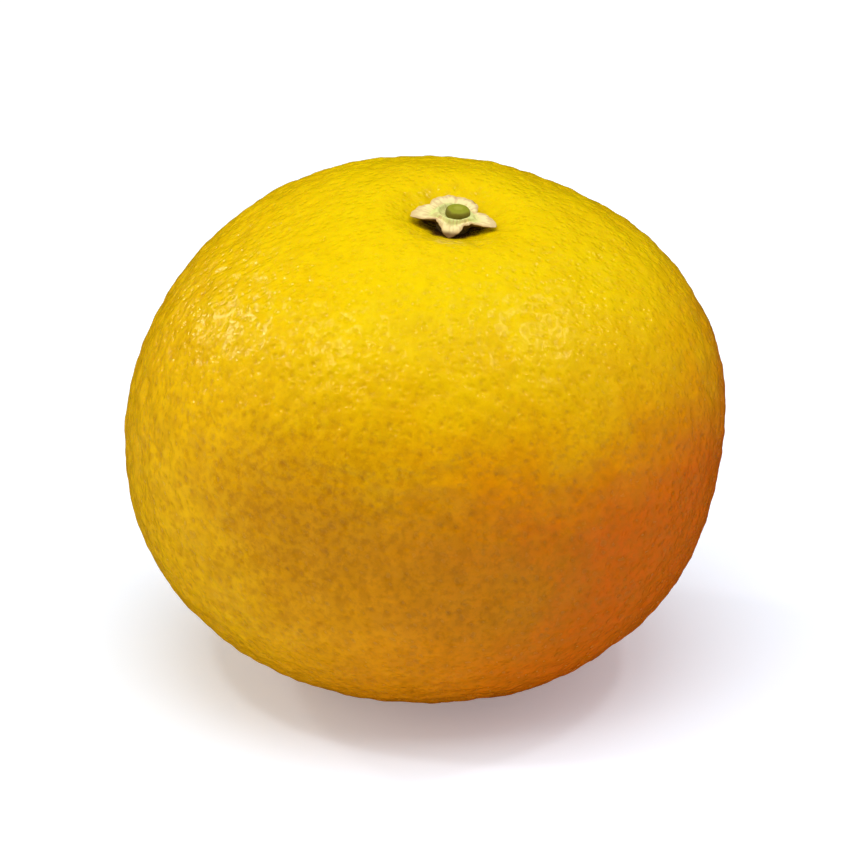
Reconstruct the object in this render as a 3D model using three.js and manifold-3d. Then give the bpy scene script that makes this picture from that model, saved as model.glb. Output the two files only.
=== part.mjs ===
// A whole bitter orange, picked and clipped short, resting on a small flat spot near its blossom end.
// Millimetres, +Z up. The origin is under the middle of the fruit, on the surface that it rests on.
// The stem axis leans a little, as a fruit does when it settles, towards -Y and +X.

import * as THREE from 'three';
import * as BufferGeometryUtils from 'three/addons/utils/BufferGeometryUtils.js';
import Module from 'manifold-3d';

// Driving dimensions of the fruit.
const WIDTH = 78;
const HEIGHT = 65.6;
const SQUARENESS = 2.32;
const LEAN_FORWARD = 8;
const LEAN_RIGHT = 7;
const FLAT_DEPTH = 0.6;

// The hollow that the stem button sits in.
const HOLLOW_DEPTH = 3.2;
const HOLLOW_RADIUS = 6.5;

// Broad swellings (+) and flats (-) that make the fruit uneven. Angles are from the stem, and from +X.
const SWELLINGS = [
  { polar: 48, azimuth: 176, spread: 30, height: -2.3 },
  { polar: 58, azimuth: 8, spread: 30, height: 0.9 },
  { polar: 130, azimuth: 190, spread: 32, height: 1.1 },
  { polar: 78, azimuth: 95, spread: 34, height: -0.7 },
  { polar: 126, azimuth: 315, spread: 30, height: -0.4 },
];

// The button: a foot on the fruit, five sepals that stand off the rind, and a socket for the stem,
// which is a little off the middle.
const CLEARANCE = 0.3;
const FOOT_RADIUS = 2.1;
const SEPAL_REACH = 5.6;
const WEB_REACH = 3.1;
const SEPAL_POINTEDNESS = 0.8;
const SEPAL_CURL = 1.5;
const RIM_HEIGHT = 2.45;
const SOCKET_FLOOR = 1.9;
const STEM_OFFSET = 0.45;
const STEM_RADIUS = 1.6;
const STEM_TOP_RADIUS = 1.5;
const STEM_HEIGHT = 0.8;

// Azimuth and reach place each sepal's tip, and lift is how far it curls up (+) or droops (-).
// Before and after are how far round it spreads on each side of its tip, in degrees.
const SEPALS = [
  { azimuth: -24, reach: 6.1, lift: 0.1, before: 16, after: 48 },
  { azimuth: 60, reach: 4.8, lift: 0.2, before: 40, after: 40 },
  { azimuth: 97, reach: 4.9, lift: 0.25, before: 40, after: 60 },
  { azimuth: 198, reach: 6.0, lift: 0, before: 60, after: 20 },
  { azimuth: 258, reach: 4.2, lift: -0.6, before: 24, after: 24 },
];

// The button's outline where a sepal is SEPAL_REACH long, as [distance from the axis, height]:
// out along the underside, round the sepal's edge, and back over the top into the socket.
const BUTTON_OUTLINE = [
  [0, CLEARANCE],
  [FOOT_RADIUS, CLEARANCE],
  [FOOT_RADIUS + 0.1, 1.0],
  [3.6, 1.35],
  [SEPAL_REACH - 0.2, 1.75],
  [SEPAL_REACH, 1.95],
  [SEPAL_REACH - 0.2, 2.15],
  [4.4, 2.2],
  [3.3, 2.15],
  [STEM_RADIUS + 0.9, RIM_HEIGHT],
  [STEM_RADIUS + 0.5, RIM_HEIGHT],
  [STEM_RADIUS + CLEARANCE, SOCKET_FLOOR],
  [0, SOCKET_FLOOR],
];

// How finely the solids are faceted, and how much closer the rings are near the stem.
const AROUND = 60;
const RINGS = 42;
const RING_CROWDING = 0.11;
const SEPAL_AROUND = 72;
const STEM_AROUND = 24;
const MERGE_DISTANCE = 1e-4;

const radians = THREE.MathUtils.degToRad;
const wasm = await Module();
wasm.setup();

// The direction of a point on the fruit from its centre, as a unit vector.
function direction(polar, azimuth) {
  return new THREE.Vector3(
    Math.sin(polar) * Math.cos(azimuth),
    Math.sin(polar) * Math.sin(azimuth),
    Math.cos(polar),
  );
}

const swellings = SWELLINGS.map(({ polar, azimuth, spread, height }) => ({
  towards: direction(radians(polar), radians(azimuth)),
  spread: radians(spread),
  height,
}));

// The distance from the centre to the plain rounded form: an ellipse, a little squared.
function roundedRadius(polar) {
  const across = Math.abs(Math.sin(polar)) / (WIDTH / 2);
  const along = Math.abs(Math.cos(polar)) / (HEIGHT / 2);
  return (across ** SQUARENESS + along ** SQUARENESS) ** (-1 / SQUARENESS);
}

// How far the swellings raise the rind in one direction.
function swelling(towards) {
  return swellings.reduce((sum, { towards: middle, spread, height }) => {
    const angle = towards.angleTo(middle);
    return sum + height * Math.exp(-((angle / spread) ** 2));
  }, 0);
}

// How deep the stem hollow is at a distance from the stem axis. Its floor is nearly flat.
function hollow(distance) {
  return HOLLOW_DEPTH * Math.exp(-((distance / HOLLOW_RADIUS) ** 4));
}

// A point on the rind, in the fruit's own frame: stem axis along +Z, origin at its centre.
function rindPoint(polar, azimuth) {
  const towards = direction(polar, azimuth);
  const point = towards.clone().multiplyScalar(roundedRadius(polar) + swelling(towards));
  if (polar < Math.PI / 2) {
    point.z -= hollow(Math.hypot(point.x, point.y));
  }
  return point;
}

// Rings are closer together around the stem hollow, where the rind bends most.
function ringPolar(ring) {
  const share = ring / RINGS;
  return Math.PI * (share - RING_CROWDING * Math.sin(Math.PI * share) * (1 - share));
}

function closed(geometry) {
  geometry.deleteAttribute('normal');
  geometry.deleteAttribute('uv');
  return BufferGeometryUtils.mergeVertices(geometry, MERGE_DISTANCE);
}

function toSolid(geometry) {
  const { position } = geometry.attributes;
  return new wasm.Manifold(new wasm.Mesh({
    numProp: 3,
    vertProperties: new Float32Array(position.array),
    triVerts: new Uint32Array(geometry.index.array),
  }));
}

function toGeometry(solid) {
  const mesh = solid.getMesh();
  const geometry = new THREE.BufferGeometry();
  geometry.setAttribute('position', new THREE.BufferAttribute(mesh.vertProperties, 3));
  geometry.setIndex(new THREE.BufferAttribute(mesh.triVerts, 1));
  return geometry;
}

// The whole round fruit, before it is flattened underneath.
function roundFruit() {
  const profile = Array.from({ length: RINGS + 1 }, (_, ring) => {
    const polar = Math.PI - ringPolar(ring);
    return new THREE.Vector2(Math.sin(polar), Math.cos(polar));
  });
  profile[0].x = 0;
  profile[RINGS].x = 0;
  const geometry = closed(new THREE.LatheGeometry(profile, AROUND)).rotateX(Math.PI / 2);
  const { position } = geometry.attributes;
  const vertex = new THREE.Vector3();
  for (let i = 0; i < position.count; i += 1) {
    vertex.fromBufferAttribute(position, i);
    const polar = Math.acos(THREE.MathUtils.clamp(vertex.z, -1, 1));
    const point = rindPoint(polar, Math.atan2(vertex.y, vertex.x));
    position.setXYZ(i, point.x, point.y, point.z);
  }
  return geometry;
}

// Sets the leaning fruit on the surface, pressed into it by FLAT_DEPTH and centred over the origin.
function settle(fruit, leaning) {
  leaning.rotation.set(radians(LEAN_FORWARD), radians(LEAN_RIGHT), 0);
  leaning.updateMatrix();
  const box = new THREE.Box3().setFromBufferAttribute(
    fruit.clone().applyMatrix4(leaning.matrix).attributes.position,
  );
  const middle = box.getCenter(new THREE.Vector3());
  leaning.position.set(-middle.x, -middle.y, -box.min.z - FLAT_DEPTH);
  leaning.updateMatrix();
}

// Cuts off what would be below the surface, which leaves the flat spot.
function flattened(fruit, leaning) {
  const below = closed(new THREE.BoxGeometry(WIDTH, WIDTH, WIDTH));
  below.translate(0, 0, -WIDTH / 2);
  below.applyMatrix4(leaning.matrix.clone().invert());
  return toGeometry(toSolid(fruit).subtract(toSolid(below)));
}

// How much of a sepal there is in one direction: 1 at its tip, 0 beyond its edges.
function sepalShare(azimuth, sepal) {
  const turn = azimuth - radians(sepal.azimuth);
  const away = Math.atan2(Math.sin(turn), Math.cos(turn));
  const width = radians(away < 0 ? sepal.before : sepal.after);
  return Math.max(0, 1 - Math.abs(away) / width) ** SEPAL_POINTEDNESS;
}

// Where a point of the round outline goes: out or in to the sepals' edge, up or down with their tips.
function buttonPoint({ x, y, z }) {
  const azimuth = Math.atan2(y, x);
  const distance = Math.hypot(x, y);
  const outward = THREE.MathUtils.clamp((distance - FOOT_RADIUS) / (SEPAL_REACH - FOOT_RADIUS), 0, 1);
  let reach = WEB_REACH;
  let lift = 0;
  for (const sepal of SEPALS) {
    const share = sepalShare(azimuth, sepal);
    reach = Math.max(reach, WEB_REACH + share * (sepal.reach - WEB_REACH));
    lift += share * sepal.lift;
  }
  const spread = outward > 0 ? (FOOT_RADIUS + outward * (reach - FOOT_RADIUS)) / distance : 1;
  const inward = THREE.MathUtils.clamp(1 - (distance - STEM_RADIUS - CLEARANCE) / STEM_RADIUS, 0, 1);
  const aside = z > SOCKET_FLOOR - CLEARANCE ? inward * STEM_OFFSET : 0;
  return new THREE.Vector3(x * spread + aside, y * spread, z + outward ** SEPAL_CURL * lift);
}

function buttonGeometry() {
  const outline = BUTTON_OUTLINE.map(([distance, height]) => new THREE.Vector2(distance, height));
  const lathe = new THREE.LatheGeometry(outline, SEPAL_AROUND);
  const geometry = closed(lathe).rotateX(Math.PI / 2);
  const { position } = geometry.attributes;
  const vertex = new THREE.Vector3();
  for (let i = 0; i < position.count; i += 1) {
    const point = buttonPoint(vertex.fromBufferAttribute(position, i));
    position.setXYZ(i, point.x, point.y, point.z);
  }
  return geometry;
}

// The stub of stem that the clippers leave, flush in the button's socket.
function stemGeometry() {
  const cylinder = new THREE.CylinderGeometry(STEM_TOP_RADIUS, STEM_RADIUS, STEM_HEIGHT, STEM_AROUND);
  return closed(cylinder).rotateX(Math.PI / 2).translate(0, 0, STEM_HEIGHT / 2);
}

function piece(name, geometry, colour, roughness) {
  const material = new THREE.MeshStandardMaterial({ color: colour, roughness, metalness: 0 });
  geometry.computeVertexNormals();
  const mesh = new THREE.Mesh(geometry, material);
  mesh.name = name;
  return mesh;
}

const round = roundFruit();
const leaning = new THREE.Group();
settle(round, leaning);
const hollowFloor = rindPoint(0, 0).z;

const fruit = piece('fruit', flattened(round, leaning), 0xe9b104, 0.45);
const calyx = piece('calyx', buttonGeometry(), 0xe6d59a, 0.75);
calyx.position.z = hollowFloor;
const stemStub = piece('stem_stub', stemGeometry(), 0x8f9327, 0.7);
stemStub.position.set(STEM_OFFSET, 0, hollowFloor + SOCKET_FLOOR + CLEARANCE);

leaning.add(fruit, calyx, stemStub);
const bitterOrange = new THREE.Group();
bitterOrange.add(leaning);

export default bitterOrange;
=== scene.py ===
"""A whole bitter orange with its stem button, resting on a pale studio floor.

Lengths are in metres and +Z is up. The origin is on the floor, under the middle of the fruit.
"""

import math
import random
from typing import NamedTuple

import bmesh
import bpy
from mathutils import Matrix, Vector, noise
from mathutils.bvhtree import BVHTree
from mathutils.kdtree import KDTree


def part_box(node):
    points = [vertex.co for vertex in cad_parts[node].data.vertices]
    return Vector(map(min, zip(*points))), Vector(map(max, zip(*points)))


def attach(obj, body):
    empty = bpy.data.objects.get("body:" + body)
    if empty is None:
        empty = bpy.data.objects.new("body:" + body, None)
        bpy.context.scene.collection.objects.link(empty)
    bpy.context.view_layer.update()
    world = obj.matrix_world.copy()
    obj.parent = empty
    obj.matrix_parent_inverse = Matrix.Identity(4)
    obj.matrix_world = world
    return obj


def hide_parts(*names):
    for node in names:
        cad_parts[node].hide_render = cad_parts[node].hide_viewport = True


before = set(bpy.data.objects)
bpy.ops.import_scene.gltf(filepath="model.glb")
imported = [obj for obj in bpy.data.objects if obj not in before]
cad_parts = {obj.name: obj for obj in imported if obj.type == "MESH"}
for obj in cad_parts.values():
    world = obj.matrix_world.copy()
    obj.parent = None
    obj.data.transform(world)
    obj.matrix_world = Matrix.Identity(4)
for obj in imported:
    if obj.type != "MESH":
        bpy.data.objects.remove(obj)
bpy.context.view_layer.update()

bl_info = {
    "name": "Bitter Orange",
    "version": (1, 0, 0),
    "blender": (4, 5, 0),
    "location": "3D View > Sidebar > Bitter Orange",
    "description": "Builds a bitter orange: its pitted rind, its button of sepals and its clipped stem",
    "category": "Add Mesh",
}

MM = 0.001

# How the fruit leans as it rests, and its own middle.
LEAN = Matrix.Rotation(math.radians(8), 4, "X") @ Matrix.Rotation(math.radians(7), 4, "Y")
STEM_AXIS = (LEAN @ Vector((0, 0, 1))).normalized()
FRUIT_LOW, FRUIT_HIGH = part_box("fruit")
FRUIT_MIDDLE = (FRUIT_LOW + FRUIT_HIGH) / 2
MEAN_RADIUS = (FRUIT_HIGH - FRUIT_LOW).x / 2

# The button's measures up and out from the floor of the stem hollow.
SOCKET_FLOOR = 1.9 * MM
CLEARANCE = 0.3 * MM
STEM_HEIGHT = 0.8 * MM
STEM_OFFSET = 0.45 * MM
STEM_RADIUS = 1.6 * MM
FOOT_RADIUS = 2.1 * MM
SEPAL_REACH = 5.6 * MM
WEB_REACH = 3.1 * MM

# How finely the pieces are divided.
RIND_CUTS = 31
RIND_LEVELS = 2
BUTTON_STEPS = 96
BUTTON_LEVELS = 2
STEM_STEPS = 48
STEM_LEVELS = 2
WELD_DISTANCE = 0.01 * MM


# ---------------------------------------------------------------- shader maths


class Channel:
    """A value that varies over a surface. Python's operators on it add Math nodes."""

    def __init__(self, finish, socket):
        self.finish = finish
        self.socket = socket

    def _join(self, operation, first, second):
        node = self.finish.node("ShaderNodeMath", {"operation": operation}, {0: first, 1: second})
        return Channel(self.finish, node.outputs[0])

    def __add__(self, other):
        return self._join("ADD", self, other)

    def __radd__(self, other):
        return self._join("ADD", other, self)

    def __sub__(self, other):
        return self._join("SUBTRACT", self, other)

    def __rsub__(self, other):
        return self._join("SUBTRACT", other, self)

    def __mul__(self, other):
        return self._join("MULTIPLY", self, other)

    def __rmul__(self, other):
        return self._join("MULTIPLY", other, self)


class Cloud(NamedTuple):
    """A pattern of soft blotches about as wide as size. Each seed gives another one."""

    size: float
    seed: float
    detail: float = 1.0
    roughness: float = 0.5


class Finish:
    """One material: its Principled shader and the nodes that feed it."""

    # A Mix node's sockets for colours, and how far apart the patterns of two seeds are taken.
    MIX_A, MIX_B, MIX_RESULT = 6, 7, 2
    CLOUD_SHIFT = 0.1

    def __init__(self, name):
        self.material = bpy.data.materials.new(name)
        self.material.use_nodes = True
        self.tree = self.material.node_tree
        self.shader = self.tree.nodes["Principled BSDF"]
        self.place = self.node("ShaderNodeTexCoord", {}, {}).outputs["Object"]

    def node(self, kind, settings, inputs):
        """A new node of that type, with its settings set first and then its sockets fed."""
        node = self.tree.nodes.new(kind)
        for name, value in settings.items():
            setattr(node, name, value)
        for name, value in inputs.items():
            self.feed(node.inputs[name], value)
        return node

    def feed(self, socket, value):
        """Links a channel or an output to a socket, or sets the socket to a plain value."""
        if isinstance(value, Channel):
            value = value.socket
        if isinstance(value, bpy.types.NodeSocket):
            self.tree.links.new(value, socket)
        else:
            socket.default_value = value

    def attribute(self, name):
        """A value that the piece's own mesh holds at each point."""
        node = self.node("ShaderNodeAttribute", {"attribute_name": name}, {})
        return Channel(self, node.outputs["Fac"])

    def along(self, axis):
        """How far a point is along an axis through the fruit's middle, in metres."""
        settings = {"operation": "SUBTRACT"}
        offset = self.node("ShaderNodeVectorMath", settings, {0: self.place, 1: FRUIT_MIDDLE})
        settings = {"operation": "DOT_PRODUCT"}
        node = self.node("ShaderNodeVectorMath", settings, {0: offset.outputs[0], 1: axis})
        return Channel(self, node.outputs["Value"])

    def near(self, point, radius):
        """1 at a point, fading to 0 at a radius from it."""
        settings = {"operation": "DISTANCE"}
        node = self.node("ShaderNodeVectorMath", settings, {0: self.place, 1: point})
        return self.rise(Channel(self, node.outputs["Value"]), radius, 0)

    def rise(self, value, low, high):
        """0 where the value is at low, 1 where it is at high, with soft ends."""
        settings = {"interpolation_type": "SMOOTHSTEP"}
        inputs = {"Value": value, "From Min": low, "From Max": high}
        return Channel(self, self.node("ShaderNodeMapRange", settings, inputs).outputs[0])

    def cloud(self, cloud):
        """A pattern's value at each point, from 0 to 1."""
        shift = (cloud.seed * self.CLOUD_SHIFT,) * 3
        moved = self.node("ShaderNodeVectorMath", {"operation": "ADD"}, {0: self.place, 1: shift})
        inputs = {
            "Vector": moved.outputs[0],
            "Scale": 1 / cloud.size,
            "Detail": cloud.detail,
            "Roughness": cloud.roughness,
        }
        return Channel(self, self.node("ShaderNodeTexNoise", {}, inputs).outputs[0])

    def cells(self, size):
        """Cells as wide as size: the distance from the middle of each, and a random number for each."""
        node = self.node("ShaderNodeTexVoronoi", {}, {"Vector": self.place, "Scale": 1 / size})
        split = self.node("ShaderNodeSeparateColor", {}, {0: node.outputs["Color"]})
        return Channel(self, node.outputs["Distance"]), Channel(self, split.outputs[0])

    def mix(self, share, first, second):
        """A colour between two, where share goes from 0 to 1."""
        inputs = {0: share, self.MIX_A: first, self.MIX_B: second}
        return self.node("ShaderNodeMix", {"data_type": "RGBA"}, inputs).outputs[self.MIX_RESULT]

    def bump(self, height, depth):
        """Fine relief that is too small for the mesh, where a height of 1 stands out by depth."""
        node = self.node("ShaderNodeBump", {}, {"Height": height, "Distance": depth})
        self.feed(self.shader.inputs["Normal"], node.outputs[0])


def opaque(colour):
    """A colour property as a socket wants it."""
    return (*colour, 1.0)


# ---------------------------------------------------------------- mesh helpers


def fade(value, low, high):
    """0 at low, 1 at high, soft at both ends. High may be the smaller of the two."""
    share = min(max((value - low) / (high - low), 0.0), 1.0)
    return share * share * (3 - 2 * share)


def new_mesh(form, name):
    """Ends a bmesh by turning it into a mesh."""
    mesh = bpy.data.meshes.new(name)
    form.to_mesh(mesh)
    form.free()
    return mesh


def refined(mesh, levels):
    """The same surface with its faces divided and rounded, as plain faces."""
    carrier = bpy.data.objects.new("carrier", mesh)
    bpy.context.scene.collection.objects.link(carrier)
    rounding = carrier.modifiers.new("rounding", "SUBSURF")
    rounding.levels = levels
    rounding.render_levels = levels
    bpy.context.view_layer.update()
    evaluated = carrier.evaluated_get(bpy.context.evaluated_depsgraph_get())
    fine = bpy.data.meshes.new_from_object(evaluated)
    bpy.data.objects.remove(carrier)
    return fine


def write_attribute(mesh, name, values):
    """Stores one number for each point of the mesh, for its finish to read."""
    mesh.attributes.new(name, "FLOAT", "POINT").data.foreach_set("value", values)


def add_piece(name, mesh, material, node):
    """Puts a finished piece in the scene in place of its CAD node."""
    mesh.materials.clear()
    mesh.materials.append(material)
    mesh.shade_smooth()
    piece = bpy.data.objects.new(name, mesh)
    bpy.context.scene.collection.objects.link(piece)
    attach(piece, "root")
    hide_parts(node)
    return piece


def button_place():
    """Where the button grows: the middle of the hollow's floor, with +Z along the stem."""
    low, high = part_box("stem_stub")
    upward = SOCKET_FLOOR + CLEARANCE + STEM_HEIGHT / 2
    middle = (low + high) / 2 - LEAN @ Vector((STEM_OFFSET, 0, upward))
    return Matrix.Translation(middle) @ LEAN


def turned(outline, steps):
    """Spins an outline of (distance from the axis, height) round +Z into a closed form."""
    form = bmesh.new()
    corners = [form.verts.new((distance, 0, height)) for distance, height in outline]
    edges = [form.edges.new(pair) for pair in zip(corners, corners[1:])]
    bmesh.ops.spin(form, geom=corners + edges, cent=(0, 0, 0), axis=(0, 0, 1), angle=math.tau,
                   steps=steps, use_merge=True)
    bmesh.ops.remove_doubles(form, verts=form.verts[:], dist=WELD_DISTANCE)
    bmesh.ops.recalc_face_normals(form, faces=form.faces[:])
    return form


# ---------------------------------------------------------------- rind


class Gland(NamedTuple):
    """One oil gland's pit in the rind."""

    radius: float
    depth: float


class Furrow(NamedTuple):
    """One short furrow that runs out from the stem hollow."""

    azimuth: float
    start: float
    end: float
    depth: float


class EndMarks(NamedTuple):
    """What the stem end or the blossom end does to the rind at one point."""

    calm: float
    furrow: float
    dry: float
    scar: float


# The glands' pits and the furrows round the stem hollow. A pair is the least and the most.
GLAND_SEED = 41
GOLDEN_ANGLE = math.pi * (3 - math.sqrt(5))
GLAND_RADIUS = (0.5 * MM, 0.85 * MM)
GLAND_DEPTH_SHARE = (0.35, 1.0)
GLAND_JITTER = 0.33
FURROW_SEED = 7
FURROW_COUNT = 17
FURROW_JITTER = 0.35
FURROW_START_MM = (4.6, 6.4)
FURROW_LENGTH_MM = (1.6, 4.4)
FURROW_DEPTH_MM = (0.1, 0.4)
FURROW_WIDTH = 0.5 * MM
# The depth at which a furrow's painted shade is full.
FURROW_FULL_SHADE = 0.3 * MM

# How often the facets are smoothed: everywhere, and again outside the stem hollow.
SMOOTHING_PASSES = 2
BODY_SMOOTHING_PASSES = 6
SMOOTHING_SHARE = 0.5
HOLLOW_EDGE = 14 * MM

# How much of the relief is left at the stem, and over which distances from it the rest comes back.
CALM_SHARE = 0.35
CALM_SPAN = (6 * MM, 24 * MM)

# The dry skin under the button, darkened with painted shade, and the blossom scar, both with ragged edges.
RAGGED_WIDTH = 1.5 * MM
RAGGED_REACH = 0.8 * MM
DRY_SKIN_AND_SHADE_SPAN = (4.6 * MM, 3.2 * MM)
SCAR_RADIUS = 1.7 * MM
SCAR_CORE = 0.4
SCAR_DEPTH = 0.45 * MM

# The rind's swells and pebbles, as (width, height).
RIND_RELIEF = (
    (15 * MM, 0.24 * MM),
    (5.0 * MM, 0.14 * MM),
    (2.0 * MM, 0.22 * MM),
)


def rind_cage():
    """A cube's grid of faces, rounded to a ball with the stem axis through the middle of one side."""
    cage = bmesh.new()
    bmesh.ops.create_cube(cage, size=2)
    bmesh.ops.subdivide_edges(cage, edges=cage.edges[:], cuts=RIND_CUTS, use_grid_fill=True)
    for vertex in cage.verts:
        vertex.co = Vector([math.tan(c * math.pi / 4) for c in vertex.co]).normalized()
    bmesh.ops.transform(cage, verts=cage.verts[:], matrix=LEAN)
    return cage


def wrap_round_fruit(cage):
    """Moves the ball's points out to the fruit's surface, and takes off the edges of its facets."""
    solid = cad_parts["fruit"].data
    surface = BVHTree.FromPolygons([v.co for v in solid.vertices], [p.vertices for p in solid.polygons])
    for vertex in cage.verts:
        hit = surface.ray_cast(FRUIT_MIDDLE, vertex.co)[0]
        if hit is None:
            raise RuntimeError("the fruit's surface isn't closed round its middle")
        vertex.co = hit
    to_button = button_place().inverted()
    body = [v for v in cage.verts if (to_button @ v.co).length > HOLLOW_EDGE]
    for passes, vertices in ((SMOOTHING_PASSES, cage.verts[:]), (BODY_SMOOTHING_PASSES, body)):
        for _ in range(passes):
            bmesh.ops.smooth_vert(cage, verts=vertices, factor=SMOOTHING_SHARE, use_axis_x=True,
                                  use_axis_y=True, use_axis_z=True)


def scatter_glands(spacing, depth):
    """The oil glands as a tree of their directions from the middle, and each one's size."""
    chance = random.Random(GLAND_SEED)
    count = round(4 * math.pi * MEAN_RADIUS**2 / spacing**2)
    jitter = GLAND_JITTER * spacing / MEAN_RADIUS
    tree = KDTree(count)
    glands = []
    for i in range(count):
        height = 1 - 2 * (i + 0.5) / count
        across = math.sqrt(1 - height * height)
        turn = i * GOLDEN_ANGLE
        aside = Vector([chance.uniform(-jitter, jitter) for _ in range(3)])
        towards = Vector((across * math.cos(turn), across * math.sin(turn), height)) + aside
        tree.insert(towards.normalized(), i)
        glands.append(Gland(chance.uniform(*GLAND_RADIUS), depth * chance.uniform(*GLAND_DEPTH_SHARE)))
    tree.balance()
    return tree, glands


def gland_pit(towards, tree, glands):
    """How deep the nearest gland's pit is here, in metres, and how far into it this is, from 0 to 1."""
    _, index, distance = tree.find(towards)
    gland = glands[index]
    share = min(distance * MEAN_RADIUS / gland.radius, 1.0)
    inside = (1 - share * share) ** 2
    return gland.depth * inside, inside


def draw_furrows():
    """The furrows round the stem hollow, uneven in place, length and depth."""
    chance = random.Random(FURROW_SEED)
    furrows = []
    for i in range(FURROW_COUNT):
        azimuth = math.tau * (i + chance.uniform(-FURROW_JITTER, FURROW_JITTER)) / FURROW_COUNT
        start = chance.uniform(*FURROW_START_MM) * MM
        end = start + chance.uniform(*FURROW_LENGTH_MM) * MM
        furrows.append(Furrow(azimuth, start, end, chance.uniform(*FURROW_DEPTH_MM) * MM))
    return furrows


def furrow_depth(azimuth, distance, furrows):
    """How deep the furrows are here, in metres."""
    depth = 0.0
    for furrow in furrows:
        if furrow.start < distance < furrow.end:
            away = math.remainder(azimuth - furrow.azimuth, math.tau) * distance
            along = (distance - furrow.start) / (furrow.end - furrow.start)
            depth += furrow.depth * math.exp(-((away / FURROW_WIDTH) ** 2)) * math.sin(math.pi * along)
    return depth


def relief(point):
    """How far the rind's swells and pebbles raise it here, in metres."""
    return sum(height * noise.noise(point / width) for width, height in RIND_RELIEF)


def end_marks(point, local, furrows):
    """How the stem end above, or the blossom end below, shapes the rind at a point."""
    from_axis = math.hypot(local.x, local.y)
    ragged = from_axis + RAGGED_REACH * noise.noise(point / RAGGED_WIDTH)
    if local.z <= -MEAN_RADIUS / 2:
        return EndMarks(1.0, 0.0, 0.0, fade(ragged, SCAR_RADIUS, SCAR_RADIUS * SCAR_CORE))
    calm = CALM_SHARE + (1 - CALM_SHARE) * fade(from_axis, *CALM_SPAN)
    furrow = furrow_depth(math.atan2(local.y, local.x), from_axis, furrows)
    return EndMarks(calm, furrow, fade(ragged, *DRY_SKIN_AND_SHADE_SPAN), 0.0)


def carve_rind(mesh, settings):
    """Gives the smooth rind its swells, gland pits, furrows and scars, and marks where they are."""
    tree, glands = scatter_glands(settings.gland_spacing, settings.gland_depth)
    furrows = draw_furrows()
    to_button = button_place().inverted()
    normals = [normal.vector.copy() for normal in mesh.vertex_normals]
    marks = {"pit": [], "dry": [], "scar": [], "furrow": []}
    for vertex, normal in zip(mesh.vertices, normals):
        point = vertex.co.copy()
        pit, inside = gland_pit((point - FRUIT_MIDDLE).normalized(), tree, glands)
        ends = end_marks(point, to_button @ point, furrows)
        raised = relief(point) * ends.calm - pit * ends.calm - ends.furrow - SCAR_DEPTH * ends.scar
        vertex.co = point + normal * raised
        vertex.co.z = max(vertex.co.z, 0.0)
        marks["pit"].append(inside * pit / settings.gland_depth)
        # The dry mark carries the dried skin and the painted shade under the button.
        marks["dry"].append(ends.dry)
        marks["scar"].append(ends.scar)
        # The furrow mark sets how much shade is painted in the furrows.
        marks["furrow"].append(ends.furrow / FURROW_FULL_SHADE)
    for name, values in marks.items():
        write_attribute(mesh, name, values)


class DullShadePatch(NamedTuple):
    """A patch of dull ochre rind, partly painted shade, by its middle."""

    middle: Vector
    radius: float
    strength: float


# Dull ochre patches on the front, partly the rind's own colour and partly painted shade.
DULL_SHADE_PATCHES = (
    DullShadePatch(Vector((-14, -36, 36)) * MM, 26 * MM, 1.0),
    DullShadePatch(Vector((10, -36, 25)) * MM, 20 * MM, 0.8),
)
DULL_RAGGEDNESS = 0.8
DULL_SPAN = (0.1, 1.0)

# The rind's patterns, from the broadest to the finest.
BROAD_PATCHES = Cloud(14 * MM, 1)
WAX_PATCHES = Cloud(5 * MM, 4)
BLOTCHES = Cloud(3.4 * MM, 12, detail=2.0)
SMALL_PATCHES = Cloud(3.2 * MM, 2, detail=3.0, roughness=0.6)
MOTTLE = Cloud(1.1 * MM, 10, detail=3.0, roughness=0.7)
SKIN_GRAIN = Cloud(0.45 * MM, 3, detail=3.0, roughness=0.6)
BLOTCH_SPAN = (0.38, 0.62)
MOTTLE_SPAN = (0.42, 0.64)

# Where the rind's colours change along the blush's axis and the stem's, and how far the borders wander.
# Towards the stem end the rind turns yellow, partly its own colour and partly painted light on the top;
# towards one side it turns redder, partly painted shade.
BLUSH_AXIS = Vector((1, 0, 0))
BLUSH_SPAN = (-40 * MM, 24 * MM)
TOP_YELLOW_SPAN = (4 * MM, 34 * MM)
BROAD_WANDER = 10 * MM
SMALL_WANDER = 6 * MM

# How strongly each change of colour shows; the dull patches, the pits and the furrows are partly painted
# shade. The dark ones fade at the stem end, whose yellow is partly painted light, by the top's fading
# share.
DULL_SHADE_STRENGTH = 0.7
BLOTCH_STRENGTH = 0.18
MOTTLE_STRENGTH = 0.26
DULL_MOTTLE_STRENGTH = 0.2
PIT_SHADE_STRENGTH = 0.6
TOP_FADING = 0.75
SPECK_STRENGTH = 0.4
FURROW_SHADE_STRENGTH = 0.1
SCAR_STRENGTH = 0.85

# The specks: how far apart, how wide, which few of their cells have one, and how low they start.
SPECK_SPACING = 2.6 * MM
SPECK_WIDTH_SPAN = (0.2, 0.1)
SPECK_CHANCE_SPAN = (0.86, 0.9)
SPECKED_SPAN = (18 * MM, -16 * MM)

# The rind's shine, and the light that sinks in under it.
SKIN_SHINE = 0.46
SKIN_SHINE_TINT = (1.0, 0.85, 0.35)
SKIN_GLOW = 0.12
SKIN_GLOW_COLOUR = (1.0, 0.45, 0.05)
SKIN_GLOW_DEPTH = 1.2 * MM
SKIN_ROUGHNESS = 0.15
WAX_ROUGHNESS = 0.16
PIT_ROUGHNESS = 0.12
DIMPLE_SPACING = 1.0 * MM
DIMPLE_SPAN = (0.0, 0.55)
GRAIN_SHARE = 0.5
SKIN_BUMP = 0.11 * MM


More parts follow.
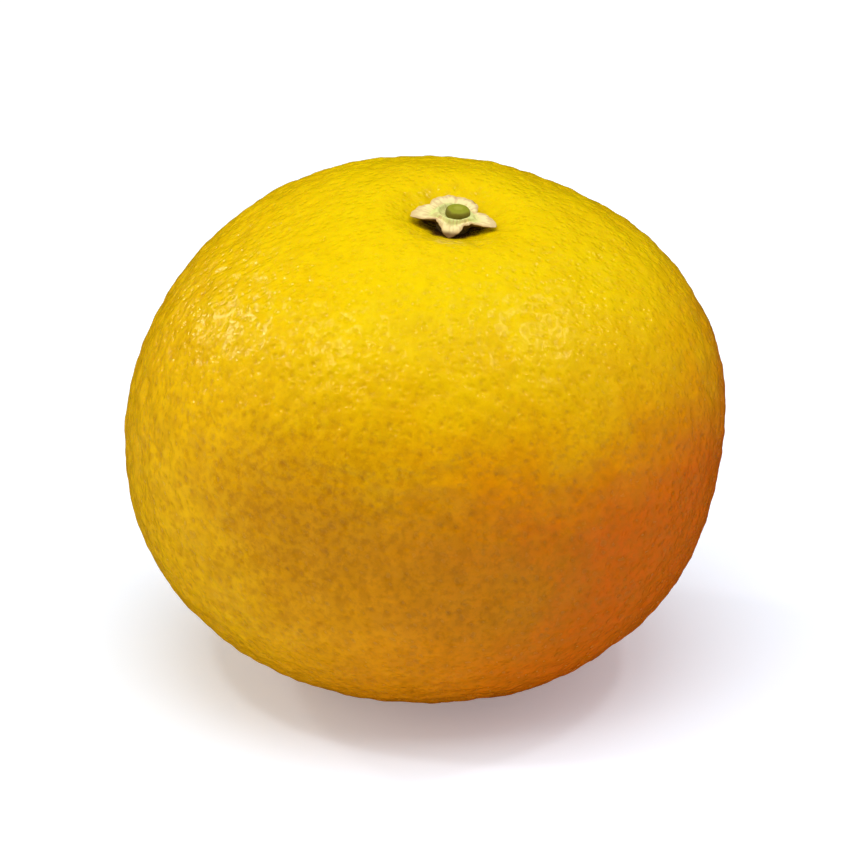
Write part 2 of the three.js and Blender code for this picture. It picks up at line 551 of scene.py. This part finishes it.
def border_wander(finish):
    """How far the borders between the rind's colours wander here, in metres."""
    broad = BROAD_WANDER * (finish.cloud(BROAD_PATCHES) - 0.5)
    return broad + SMALL_WANDER * (finish.cloud(SMALL_PATCHES) - 0.5)


def dull_and_shade_share(finish):
    """How dull the rind is, and how much shade is painted there, from 0 to 1, in patches with ragged
    edges.
    """
    close = sum(patch.strength * finish.near(patch.middle, patch.radius) for patch in DULL_SHADE_PATCHES)
    ragged = close + DULL_RAGGEDNESS * (finish.cloud(SMALL_PATCHES) - 0.5)
    return finish.rise(ragged, *DULL_SPAN)


def mottled(finish, colour, dull_and_shade, low, settings):
    """Adds the blotches, the fine mottling and the darker orange of the pits, which is partly the glands'
    own colour and partly painted shade in the pits.
    """
    dark = opaque(settings.gland_and_pit_shade_colour)
    blotch = finish.rise(finish.cloud(BLOTCHES), *BLOTCH_SPAN)
    colour = finish.mix(blotch * low * BLOTCH_STRENGTH, colour, dark)
    mottle = finish.rise(finish.cloud(MOTTLE), *MOTTLE_SPAN)
    strength = MOTTLE_STRENGTH + DULL_MOTTLE_STRENGTH * dull_and_shade
    colour = finish.mix(mottle * low * strength, colour, dark)
    # Painted shade: the pits darken, more so away from the stem end.
    return finish.mix(finish.attribute("pit") * low * PIT_SHADE_STRENGTH, colour, dark)


def rind_colour(finish, settings):
    """Yellow at the stem end, partly painted light on the top; below it yellower on one side and redder on
    the other, the redder side partly painted shade; with dull patches that are partly painted shade.
    """
    wander = border_wander(finish)
    # Painted shade: the redder side is partly the rind's own blush and partly painted shade and warm
    # bounce light on that side.
    blush_and_shade = finish.rise(finish.along(BLUSH_AXIS) + wander, *BLUSH_SPAN)
    colour = finish.mix(blush_and_shade, opaque(settings.low_colour), opaque(settings.blush_and_shade_colour))
    dull_and_shade = dull_and_shade_share(finish)
    # Painted shade: dull ochre patches on the front.
    colour = finish.mix(dull_and_shade * DULL_SHADE_STRENGTH, colour, opaque(settings.dull_and_shade_colour))
    # Painted light: the top turns yellow, partly the rind's own colour and partly light falling on it.
    top_yellow = finish.rise(finish.along(STEM_AXIS) + wander, *TOP_YELLOW_SPAN)
    colour = finish.mix(top_yellow, colour, opaque(settings.top_colour))
    return mottled(finish, colour, dull_and_shade, 1 - TOP_FADING * top_yellow, settings)


def specks(finish):
    """Where the small brown specks are, from 0 to 1: a few of the cells, and none at the stem end."""
    distance, chance = finish.cells(SPECK_SPACING)
    low = finish.rise(finish.along(STEM_AXIS), *SPECKED_SPAN)
    return finish.rise(distance, *SPECK_WIDTH_SPAN) * finish.rise(chance, *SPECK_CHANCE_SPAN) * low


def rind_marks(finish, colour, settings):
    """Adds the small brown specks, painted shade in the furrows, the dry skin under the button darkened
    with painted shade, and the scar.
    """
    brown = opaque(settings.speck_and_furrow_shade_colour)
    colour = finish.mix(specks(finish) * SPECK_STRENGTH, colour, brown)
    # Painted shade in the furrows.
    colour = finish.mix(finish.attribute("furrow") * FURROW_SHADE_STRENGTH, colour, brown)
    # Dried skin and painted shade under the button.
    colour = finish.mix(finish.attribute("dry"), colour, opaque(settings.dry_skin_and_shade_colour))
    return finish.mix(finish.attribute("scar") * SCAR_STRENGTH, colour, brown)


def rind_finish(settings):
    """Waxy citrus skin, satin, with dimples finer than the mesh's own pits."""
    finish = Finish("waxy_rind")
    shader = finish.shader.inputs
    shader["Specular IOR Level"].default_value = SKIN_SHINE
    shader["Specular Tint"].default_value = opaque(SKIN_SHINE_TINT)
    shader["Subsurface Weight"].default_value = SKIN_GLOW
    shader["Subsurface Radius"].default_value = SKIN_GLOW_COLOUR
    shader["Subsurface Scale"].default_value = SKIN_GLOW_DEPTH
    finish.feed(shader["Base Color"], rind_marks(finish, rind_colour(finish, settings), settings))
    wax = SKIN_ROUGHNESS + WAX_ROUGHNESS * finish.cloud(WAX_PATCHES)
    finish.feed(shader["Roughness"], wax + PIT_ROUGHNESS * finish.attribute("pit"))
    dimples, _ = finish.cells(DIMPLE_SPACING)
    grain = GRAIN_SHARE * finish.cloud(SKIN_GRAIN)
    finish.bump(finish.rise(dimples, *DIMPLE_SPAN) + grain, SKIN_BUMP)
    return finish.material


class RindSettings(bpy.types.PropertyGroup):
    """What can be changed about the rind."""

    gland_spacing: bpy.props.FloatProperty(
        name="Gland spacing", description="How far apart the oil glands' pits are",
        default=1.6 * MM, min=0.8 * MM, unit="LENGTH")
    gland_depth: bpy.props.FloatProperty(
        name="Gland depth", description="How deep the deepest pits are",
        default=0.23 * MM, min=0.0, unit="LENGTH")
    # The stem end's yellow is partly the rind's own colour and partly painted light on the top.
    top_colour: bpy.props.FloatVectorProperty(
        name="Stem end", description="The rind's yellow round the stem",
        default=(0.82, 0.58, 0.0003), size=3, subtype="COLOR")
    # The yellow orange of the other side, without the redder side's painted shade.
    low_colour: bpy.props.FloatVectorProperty(
        name="Shaded side", description="The yellow orange of the side that had less sun",
        default=(0.83, 0.46, 0.0003), size=3, subtype="COLOR")
    # The deep orange of the redder side is partly the rind's own blush and partly painted shade.
    blush_and_shade_colour: bpy.props.FloatVectorProperty(
        name="Sunny side", description="The deep orange of the side that had the most sun",
        default=(0.67, 0.122, 0.0003), size=3, subtype="COLOR")
    # The ochre of the dull patches is partly painted shade.
    dull_and_shade_colour: bpy.props.FloatVectorProperty(
        name="Dull patches", description="The ochre where the rind has ripened least",
        default=(0.57, 0.225, 0.0003), size=3, subtype="COLOR")
    # The darker orange in the pits is partly the glands' own colour and partly painted shade; the blotches
    # and mottling use it too.
    gland_and_pit_shade_colour: bpy.props.FloatVectorProperty(
        name="Glands", description="The darker orange at the bottom of the pits",
        default=(0.38, 0.125, 0.0003), size=3, subtype="COLOR")
    # The brown in the furrows is painted shade; in the specks and the scar it is the rind's own.
    speck_and_furrow_shade_colour: bpy.props.FloatVectorProperty(
        name="Specks", description="The brown of specks, scars and furrows",
        default=(0.20, 0.09, 0.01), size=3, subtype="COLOR")
    # The near black under the sepals is dried skin and painted shade.
    dry_skin_and_shade_colour: bpy.props.FloatVectorProperty(
        name="Dry skin", description="The dark brown skin under the sepals",
        default=(0.06, 0.022, 0.004), size=3, subtype="COLOR")


class ORANGE_OT_rind(bpy.types.Operator):
    """Build the fruit's pitted rind"""

    bl_idname = "bitter_orange.build_rind"
    bl_label = "Build Rind"

    def execute(self, context):
        cage = rind_cage()
        wrap_round_fruit(cage)
        mesh = refined(new_mesh(cage, "rind"), RIND_LEVELS)
        settings = context.scene.orange_rind
        carve_rind(mesh, settings)
        add_piece("rind", mesh, rind_finish(settings), "fruit")
        return {"FINISHED"}


# ---------------------------------------------------------------- button of sepals


class Sepal(NamedTuple):
    """One sepal. Angles are in degrees round the stem, lengths in metres."""

    azimuth: float
    reach: float
    lift: float
    before: float
    after: float


SEPALS = (
    Sepal(azimuth=-24, reach=6.1 * MM, lift=0.1 * MM, before=16, after=48),
    Sepal(azimuth=60, reach=4.8 * MM, lift=0.2 * MM, before=40, after=40),
    Sepal(azimuth=97, reach=4.9 * MM, lift=0.25 * MM, before=40, after=60),
    Sepal(azimuth=198, reach=6.0 * MM, lift=0.0, before=60, after=17),
    Sepal(azimuth=262, reach=4.4 * MM, lift=-1.2 * MM, before=29, after=31),
)
SEPAL_POINTEDNESS = 0.8
SEPAL_CURL = 1.5

# The ragged edge, the veins that run outward and the fine creases. A slice is a level of the noise.
EDGE_RAGGEDNESS = 0.3 * MM
EDGE_TIGHTNESS = 5
EDGE_SLICE = 0.3
VEIN_TIGHTNESS = 9
VEIN_LENGTH = 9 * MM
VEIN_HEIGHT_MM = 0.10
VEIN_LEVEL = 0.5
CREASE_WIDTH = 0.7 * MM
CREASE_HEIGHT_MM = 0.05

# Where the underside's painted shade starts, by how far a point faces up and by its height over the
# hollow's floor.
UNDER_TILT_SPAN = (0.1, -0.4)
UNDER_HEIGHT_SPAN = (1.6 * MM, 1.2 * MM)

# The sepals' patterns, where each colour starts and ends, and how strongly it shows.
SEPAL_BLOTCHES = Cloud(1.3 * MM, 5, detail=3.0)
SEPAL_GRAIN = Cloud(0.25 * MM, 6, detail=3.0, roughness=0.6)
RING_RAGGEDNESS = 0.3
RING_SPAN = (0.2, 0.6)
TIP_RAGGEDNESS = 0.5
TIP_SPAN = (0.78, 1.05)
TIP_STRENGTH = 0.6
VEIN_SPAN = (0.55, 0.2)
VEIN_STRENGTH = 0.4
UNDER_SHADE_STRENGTH = 0.9
SEPAL_SHINE = 0.3
SEPAL_ROUGHNESS = 0.62
SEPAL_UNEVENNESS = 0.2
SEPAL_BUMP = 0.05 * MM

# The button's outline from under its foot, out to the sepals' edge and back in to the socket.
BUTTON_OUTLINE = (
    (0.0, -0.5 * MM),
    (2.0 * MM, -0.5 * MM),
    (FOOT_RADIUS, 0.3 * MM),
    (2.3 * MM, 1.0 * MM),
    (3.0 * MM, 1.4 * MM),
    (4.2 * MM, 1.62 * MM),
    (5.2 * MM, 1.86 * MM),
    (5.5 * MM, 1.95 * MM),
    (SEPAL_REACH, 2.0 * MM),
    (5.5 * MM, 2.07 * MM),
    (5.2 * MM, 2.12 * MM),
    (4.6 * MM, 2.18 * MM),
    (3.9 * MM, 2.16 * MM),
    (3.2 * MM, 2.02 * MM),
    (2.9 * MM, 1.98 * MM),
    (2.7 * MM, 2.2 * MM),
    (2.5 * MM, 2.42 * MM),
    (2.2 * MM, 2.48 * MM),
    (1.95 * MM, 2.38 * MM),
    (1.75 * MM, 2.0 * MM),
    (1.5 * MM, 1.9 * MM),
    (0.8 * MM, 1.9 * MM),
    (0.0, 1.9 * MM),
)


def sepal_share(azimuth, sepal):
    """How much of a sepal there is in one direction: 1 at its tip, 0 beyond its edges."""
    away = math.remainder(azimuth - math.radians(sepal.azimuth), math.tau)
    width = math.radians(sepal.before if away < 0 else sepal.after)
    return max(0.0, 1 - abs(away) / width) ** SEPAL_POINTEDNESS


def sepal_edge(azimuth):
    """How far the sepals reach in one direction, and how far they lift there."""
    reach, lift = WEB_REACH, 0.0
    for sepal in SEPALS:
        share = sepal_share(azimuth, sepal)
        reach = max(reach, WEB_REACH + share * (sepal.reach - WEB_REACH))
        lift += share * sepal.lift
    round_it = Vector((math.cos(azimuth), math.sin(azimuth), EDGE_SLICE))
    return reach + EDGE_RAGGEDNESS * noise.noise(round_it * EDGE_TIGHTNESS), lift


def shape_sepals(form):
    """Draws the round outline out and in to the sepals' edges, and curls their tips."""
    for vertex in form.verts:
        distance = math.hypot(vertex.co.x, vertex.co.y)
        outward = min(max((distance - FOOT_RADIUS) / (SEPAL_REACH - FOOT_RADIUS), 0.0), 1.0)
        if outward == 0:
            continue
        reach, lift = sepal_edge(math.atan2(vertex.co.y, vertex.co.x))
        spread = (FOOT_RADIUS + outward * (reach - FOOT_RADIUS)) / distance
        vertex.co.x *= spread
        vertex.co.y *= spread
        vertex.co.z += outward**SEPAL_CURL * lift


def wrinkle_sepals(mesh):
    """Gives the fine surface its veins and creases, and marks what each point's colour depends on."""
    normals = [normal.vector.copy() for normal in mesh.vertex_normals]
    marks = {"outward": [], "under": [], "vein": []}
    for vertex, normal in zip(mesh.vertices, normals):
        distance = math.hypot(vertex.co.x, vertex.co.y)
        azimuth = math.atan2(vertex.co.y, vertex.co.x)
        edge, _ = sepal_edge(azimuth)
        outward = fade(distance, STEM_RADIUS, edge)
        round_it = Vector((math.cos(azimuth), math.sin(azimuth), distance / VEIN_LENGTH))
        vein = noise.noise(round_it * VEIN_TIGHTNESS)
        crease = noise.noise(vertex.co / CREASE_WIDTH)
        vertex.co += normal * MM * (VEIN_HEIGHT_MM * vein * outward + CREASE_HEIGHT_MM * crease)
        # Painted shade where a point faces down or sits low over the hollow's floor.
        under = max(fade(normal.z, *UNDER_TILT_SPAN), fade(vertex.co.z, *UNDER_HEIGHT_SPAN))
        marks["outward"].append(outward)
        marks["under"].append(under)
        marks["vein"].append(VEIN_LEVEL + vein)
    for name, values in marks.items():
        write_attribute(mesh, name, values)


def sepal_colour(finish, blotch, settings):
    """The ring round the socket, the sepals, their tips and veins, and the painted shade on the underside.
    """
    outward = finish.attribute("outward")
    cream = finish.rise(outward + RING_RAGGEDNESS * (blotch - 0.5), *RING_SPAN)
    colour = finish.mix(cream, opaque(settings.ring_colour), opaque(settings.sepal_colour))
    tips = finish.rise(outward + TIP_RAGGEDNESS * (blotch - 0.5), *TIP_SPAN)
    colour = finish.mix(tips * TIP_STRENGTH, colour, opaque(settings.tip_colour))
    veins = finish.rise(finish.attribute("vein"), *VEIN_SPAN)
    colour = finish.mix(veins * VEIN_STRENGTH, colour, opaque(settings.tip_colour))
    return finish.mix(finish.attribute("under") * UNDER_SHADE_STRENGTH, colour, opaque(settings.under_colour))


def sepal_finish(settings):
    """Dry, matt sepals: green round the socket, cream, brown at the edges, and painted dark brown shade
    underneath.
    """
    finish = Finish("dry_sepals")
    blotch = finish.cloud(SEPAL_BLOTCHES)
    shader = finish.shader.inputs
    finish.feed(shader["Base Color"], sepal_colour(finish, blotch, settings))
    finish.feed(shader["Roughness"], SEPAL_ROUGHNESS + SEPAL_UNEVENNESS * blotch)
    shader["Specular IOR Level"].default_value = SEPAL_SHINE
    finish.bump(finish.cloud(SEPAL_GRAIN), SEPAL_BUMP)
    return finish.material


class SepalSettings(bpy.types.PropertyGroup):
    """What can be changed about the button of sepals."""

    ring_colour: bpy.props.FloatVectorProperty(
        name="Ring", description="The greenish ring round the stem",
        default=(0.68, 0.69, 0.24), size=3, subtype="COLOR")
    sepal_colour: bpy.props.FloatVectorProperty(
        name="Sepals", description="The cream of the dry sepals",
        default=(0.87, 0.72, 0.33), size=3, subtype="COLOR")
    tip_colour: bpy.props.FloatVectorProperty(
        name="Tips", description="The pinkish brown of their tips and veins",
        default=(0.52, 0.31, 0.14), size=3, subtype="COLOR")
    # The dark brown underneath is painted shade.
    under_colour: bpy.props.FloatVectorProperty(
        name="Underside", description="The dark brown underneath",
        default=(0.13, 0.06, 0.015), size=3, subtype="COLOR")


class ORANGE_OT_button(bpy.types.Operator):
    """Build the button of dry sepals"""

    bl_idname = "bitter_orange.build_button"
    bl_label = "Build Button"

    def execute(self, context):
        form = turned(BUTTON_OUTLINE, BUTTON_STEPS)
        shape_sepals(form)
        mesh = refined(new_mesh(form, "sepals"), BUTTON_LEVELS)
        wrinkle_sepals(mesh)
        mesh.transform(button_place())
        add_piece("sepals", mesh, sepal_finish(context.scene.orange_sepals), "calyx")
        return {"FINISHED"}


# ---------------------------------------------------------------- clipped stem

# The stem's outline from its foot in the socket, up its side and in over the cut.
STEM_OUTLINE = (
    (0.0, -0.6 * MM),
    (1.55 * MM, -0.6 * MM),
    (STEM_RADIUS, 0.0),
    (1.58 * MM, 0.35 * MM),
    (1.48 * MM, 0.58 * MM),
    (1.3 * MM, 0.73 * MM),
    (1.05 * MM, 0.8 * MM),
    (0.7 * MM, 0.81 * MM),
    (0.35 * MM, 0.8 * MM),
    (0.0, 0.81 * MM),
)

# How far from round the stem is, and how rough. A slice is a level of the noise.
STEM_UNEVENNESS = 0.04
STEM_TIGHTNESS = 1.6
STEM_SLICE = 4.0
CUT_ROUGHNESS = 0.04 * MM
CUT_GRAIN_WIDTH = 0.6 * MM

# The stem's patterns, and where its wood and its bark start and end, by the share of its radius.
STEM_BLOTCHES = Cloud(0.9 * MM, 8, detail=3.0)
STEM_GRAIN = Cloud(0.2 * MM, 9, detail=3.0)
STEM_RAGGEDNESS = 0.3
WOOD_SPAN = (0.2, 0.5)
BARK_SPAN = (0.75, 0.98)
STEM_SHINE = 0.35
STEM_ROUGHNESS = 0.5
STEM_ROUGHNESS_CHANGE = 0.2
STEM_BUMP = 0.04 * MM


def roughen_stem(mesh):
    """Makes the stem a little uneven, and marks how far each point is from its middle."""
    across = []
    for vertex in mesh.vertices:
        distance = math.hypot(vertex.co.x, vertex.co.y)
        azimuth = math.atan2(vertex.co.y, vertex.co.x)
        round_it = Vector((math.cos(azimuth), math.sin(azimuth), STEM_SLICE))
        wider = 1 + STEM_UNEVENNESS * noise.noise(round_it * STEM_TIGHTNESS)
        vertex.co.x *= wider
        vertex.co.y *= wider
        vertex.co.z += CUT_ROUGHNESS * noise.noise(vertex.co / CUT_GRAIN_WIDTH)
        across.append(distance / STEM_RADIUS)
    write_attribute(mesh, "across", across)


def stem_finish(settings):
    """Dark bark round an olive green cut, with a paler pith in the middle."""
    finish = Finish("green_stem")
    blotch = finish.cloud(STEM_BLOTCHES)
    uneven = finish.attribute("across") + STEM_RAGGEDNESS * (blotch - 0.5)
    wood = finish.rise(uneven, *WOOD_SPAN)
    colour = finish.mix(wood, opaque(settings.pith_colour), opaque(settings.wood_colour))
    colour = finish.mix(finish.rise(uneven, *BARK_SPAN), colour, opaque(settings.bark_colour))
    shader = finish.shader.inputs
    finish.feed(shader["Base Color"], colour)
    finish.feed(shader["Roughness"], STEM_ROUGHNESS + STEM_ROUGHNESS_CHANGE * blotch)
    shader["Specular IOR Level"].default_value = STEM_SHINE
    finish.bump(finish.cloud(STEM_GRAIN), STEM_BUMP)
    return finish.material


class StemSettings(bpy.types.PropertyGroup):
    """What can be changed about the clipped stem."""

    bark_colour: bpy.props.FloatVectorProperty(
        name="Bark", description="The dark olive round the cut",
        default=(0.17, 0.14, 0.006), size=3, subtype="COLOR")
    wood_colour: bpy.props.FloatVectorProperty(
        name="Wood", description="The olive green of the cut",
        default=(0.27, 0.28, 0.012), size=3, subtype="COLOR")
    pith_colour: bpy.props.FloatVectorProperty(
        name="Pith", description="The paler middle of the cut",
        default=(0.34, 0.34, 0.03), size=3, subtype="COLOR")


class ORANGE_OT_stem(bpy.types.Operator):
    """Build the stub of stem in the button's socket"""

    bl_idname = "bitter_orange.build_stem"
    bl_label = "Build Stem"

    def execute(self, context):
        mesh = refined(new_mesh(turned(STEM_OUTLINE, STEM_STEPS), "stem"), STEM_LEVELS)
        roughen_stem(mesh)
        standing = Matrix.Translation((STEM_OFFSET, 0, SOCKET_FLOOR + CLEARANCE))
        mesh.transform(button_place() @ standing)
        add_piece("stem", mesh, stem_finish(context.scene.orange_stem), "stem_stub")
        return {"FINISHED"}


# ---------------------------------------------------------------- stage


class Softbox(NamedTuple):
    """One square light, by the direction it comes from. The small ones show as glints, the large don't."""

    name: str
    towards: tuple
    side: float
    power: float
    glints: bool


SOFTBOXES = (
    Softbox("overhead", (0.0, -0.2, 1.0), 1.0, 10.4, False),
    Softbox("left_fill", (-0.85, -0.3, 0.4), 1.0, 3.7, False),
    Softbox("right_fill", (0.8, 0.0, 0.65), 1.0, 2.9, False),
    Softbox("left_glint", (-0.75, 0.45, 0.48), 0.11, 1.7, True),
    Softbox("front_glint", (-0.43, -0.20, 0.88), 0.11, 1.8, True),
    Softbox("right_glint", (0.50, 0.06, 0.86), 0.11, 1.5, True),
)
LIGHT_DISTANCE = 1.2
FLOOR_SIDE = 6.0
FLOOR_CUTS = 8
FLOOR_ROUGHNESS = 0.6
FLOOR_SHINE = 0.2
CAMERA_DISTANCE = 0.55
CAMERA_LENS = 178.0
CAMERA_SENSOR = 36.0


def floor_finish(settings):
    """Pale and matt, and lit a little from below."""
    finish = Finish("pale_floor")
    shader = finish.shader.inputs
    shader["Base Color"].default_value = opaque(settings.floor_colour)
    shader["Roughness"].default_value = FLOOR_ROUGHNESS
    shader["Specular IOR Level"].default_value = FLOOR_SHINE
    shader["Emission Color"].default_value = opaque(settings.floor_colour)
    shader["Emission Strength"].default_value = settings.floor_glow
    finish.material.cycles.emission_sampling = "NONE"
    return finish.material


def add_floor(settings):
    """The floor that the fruit rests on, kept out of its reflections."""
    form = bmesh.new()
    bmesh.ops.create_grid(form, x_segments=FLOOR_CUTS, y_segments=FLOOR_CUTS, size=FLOOR_SIDE / 2)
    mesh = new_mesh(form, "floor")
    mesh.materials.append(floor_finish(settings))
    floor = bpy.data.objects.new("floor", mesh)
    bpy.context.scene.collection.objects.link(floor)
    floor.visible_glossy = False


def add_softbox(box):
    """A square area light that faces the fruit."""
    light = bpy.data.lights.new(box.name, "AREA")
    light.size = box.side
    light.energy = box.power
    lamp = bpy.data.objects.new(box.name, light)
    towards = Vector(box.towards).normalized()
    lamp.location = FRUIT_MIDDLE + towards * LIGHT_DISTANCE
    lamp.rotation_euler = towards.to_track_quat("Z", "Y").to_euler()
    lamp.visible_glossy = box.glints
    bpy.context.scene.collection.objects.link(lamp)


def add_world(settings):
    """Even pale light from all round."""
    world = bpy.data.worlds.new("studio")
    world.use_nodes = True
    background = world.node_tree.nodes["Background"]
    background.inputs["Color"].default_value = opaque(settings.world_colour)
    background.inputs["Strength"].default_value = settings.world_strength
    bpy.context.scene.world = world
    world.cycles_visibility.glossy = False


def add_camera(settings):
    """A long lens that looks down a little on the front of the fruit."""
    data = bpy.data.cameras.new("camera")
    data.lens = CAMERA_LENS
    data.sensor_width = CAMERA_SENSOR
    camera = bpy.data.objects.new("camera", data)
    back = Vector((0, -math.cos(settings.camera_elevation), math.sin(settings.camera_elevation)))
    camera.location = FRUIT_MIDDLE + back * CAMERA_DISTANCE
    camera.rotation_euler = back.to_track_quat("Z", "Y").to_euler()
    bpy.context.scene.collection.objects.link(camera)
    bpy.context.scene.camera = camera


class StageSettings(bpy.types.PropertyGroup):
    """What can be changed about the stage."""

    camera_elevation: bpy.props.FloatProperty(
        name="Camera elevation", description="How far above level the camera looks from",
        default=math.radians(23), subtype="ANGLE")
    floor_colour: bpy.props.FloatVectorProperty(
        name="Floor", description="The floor's pale colour",
        default=(0.82, 0.87, 0.94), size=3, subtype="COLOR")
    floor_glow: bpy.props.FloatProperty(
        name="Floor glow", description="How brightly the floor is lit from below",
        default=0.26, min=0.0)
    world_colour: bpy.props.FloatVectorProperty(
        name="Surround", description="The colour of the light from all round",
        default=(0.88, 0.94, 1.0), size=3, subtype="COLOR")
    world_strength: bpy.props.FloatProperty(
        name="Surround strength", description="How bright the light from all round is",
        default=0.28, min=0.0)


class ORANGE_OT_stage(bpy.types.Operator):
    """Build the floor, the soft lights and the camera"""

    bl_idname = "bitter_orange.build_stage"
    bl_label = "Build Stage"

    def execute(self, context):
        settings = context.scene.orange_stage
        add_floor(settings)
        for box in SOFTBOXES:
            add_softbox(box)
        add_world(settings)
        add_camera(settings)
        context.scene.view_settings.view_transform = "Standard"
        return {"FINISHED"}


# ---------------------------------------------------------------- add-on

SETTINGS = {
    "orange_rind": RindSettings,
    "orange_sepals": SepalSettings,
    "orange_stem": StemSettings,
    "orange_stage": StageSettings,
}
OPERATORS = (ORANGE_OT_rind, ORANGE_OT_button, ORANGE_OT_stem, ORANGE_OT_stage)


class ORANGE_PT_panel(bpy.types.Panel):
    """The orange's pieces and what can be changed about them"""

    bl_idname = "ORANGE_PT_panel"
    bl_label = "Bitter Orange"
    bl_space_type = "VIEW_3D"
    bl_region_type = "UI"
    bl_category = "Bitter Orange"

    def draw(self, context):
        for (place, group), operator in zip(SETTINGS.items(), OPERATORS):
            box = self.layout.box()
            for name in group.__annotations__:
                box.prop(getattr(context.scene, place), name)
            box.operator(operator.bl_idname)


CLASSES = (*SETTINGS.values(), *OPERATORS, ORANGE_PT_panel)


def register():
    """Makes the settings, the operators and the panel known to Blender."""
    for each in CLASSES:
        bpy.utils.register_class(each)
    for place, group in SETTINGS.items():
        setattr(bpy.types.Scene, place, bpy.props.PointerProperty(type=group))


def unregister():
    """Takes them out again."""
    for place in SETTINGS:
        delattr(bpy.types.Scene, place)
    for each in reversed(CLASSES):
        bpy.utils.unregister_class(each)


def main():
    """Builds every piece and the stage, in order."""
    register()
    bpy.ops.bitter_orange.build_rind()
    bpy.ops.bitter_orange.build_button()
    bpy.ops.bitter_orange.build_stem()
    bpy.ops.bitter_orange.build_stage()


if __name__ == "__main__":
    main()
